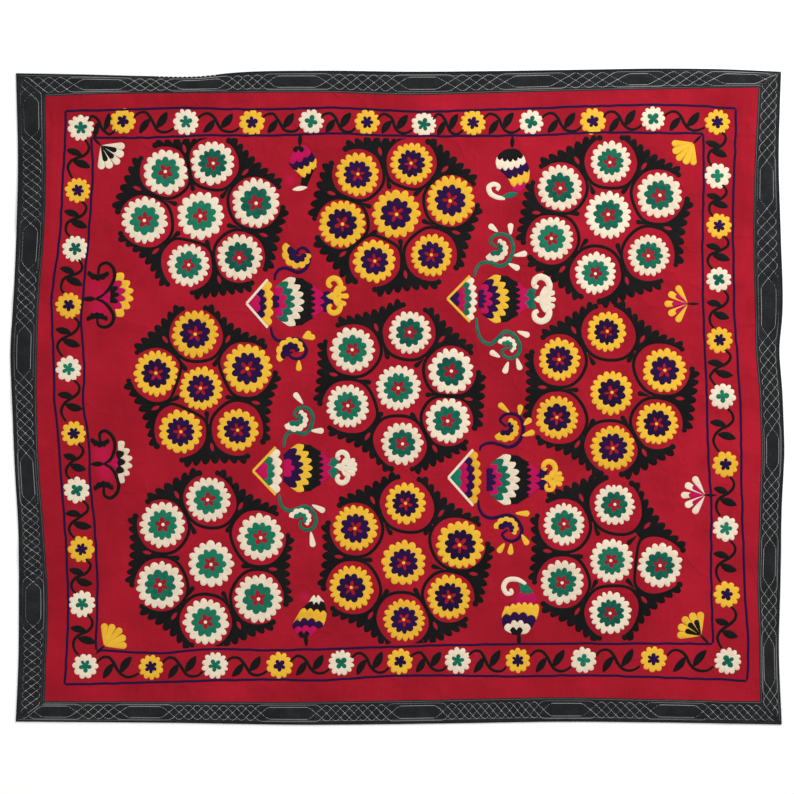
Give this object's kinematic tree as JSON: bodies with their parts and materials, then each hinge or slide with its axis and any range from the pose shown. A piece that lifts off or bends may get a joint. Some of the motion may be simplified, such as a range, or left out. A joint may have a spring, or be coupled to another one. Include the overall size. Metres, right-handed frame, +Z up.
{
  "type": "embroidered panel",
  "caption": "Large flat embroidered panel: a red cotton ground with rosette medallions, a flower border and black mitred bands with a braided edge, laid face up.",
  "frame": {"origin": "under the middle of the panel, on the surface that it lies on", "axes": "+X to the right along the long side, +Y towards the top edge, +Z up out of the embroidered face"},
  "size_m": [2.4759, 2.1, 0.0092],
  "materials": {
    "ground_cotton": "plain woven red cotton, matt",
    "band_cotton": "plain woven black cotton, matt, quilted with grey machine thread",
    "edge_braid": "narrow black braid"
  },
  "bodies": {
    "root": {"ground": "ground_cotton", "band_top": "band_cotton", "band_bottom": "band_cotton", "band_left": "band_cotton", "band_right": "band_cotton", "braid_top": "edge_braid", "braid_bottom": "edge_braid", "braid_left": "edge_braid", "braid_right": "edge_braid"}
  },
  "joints": []
}
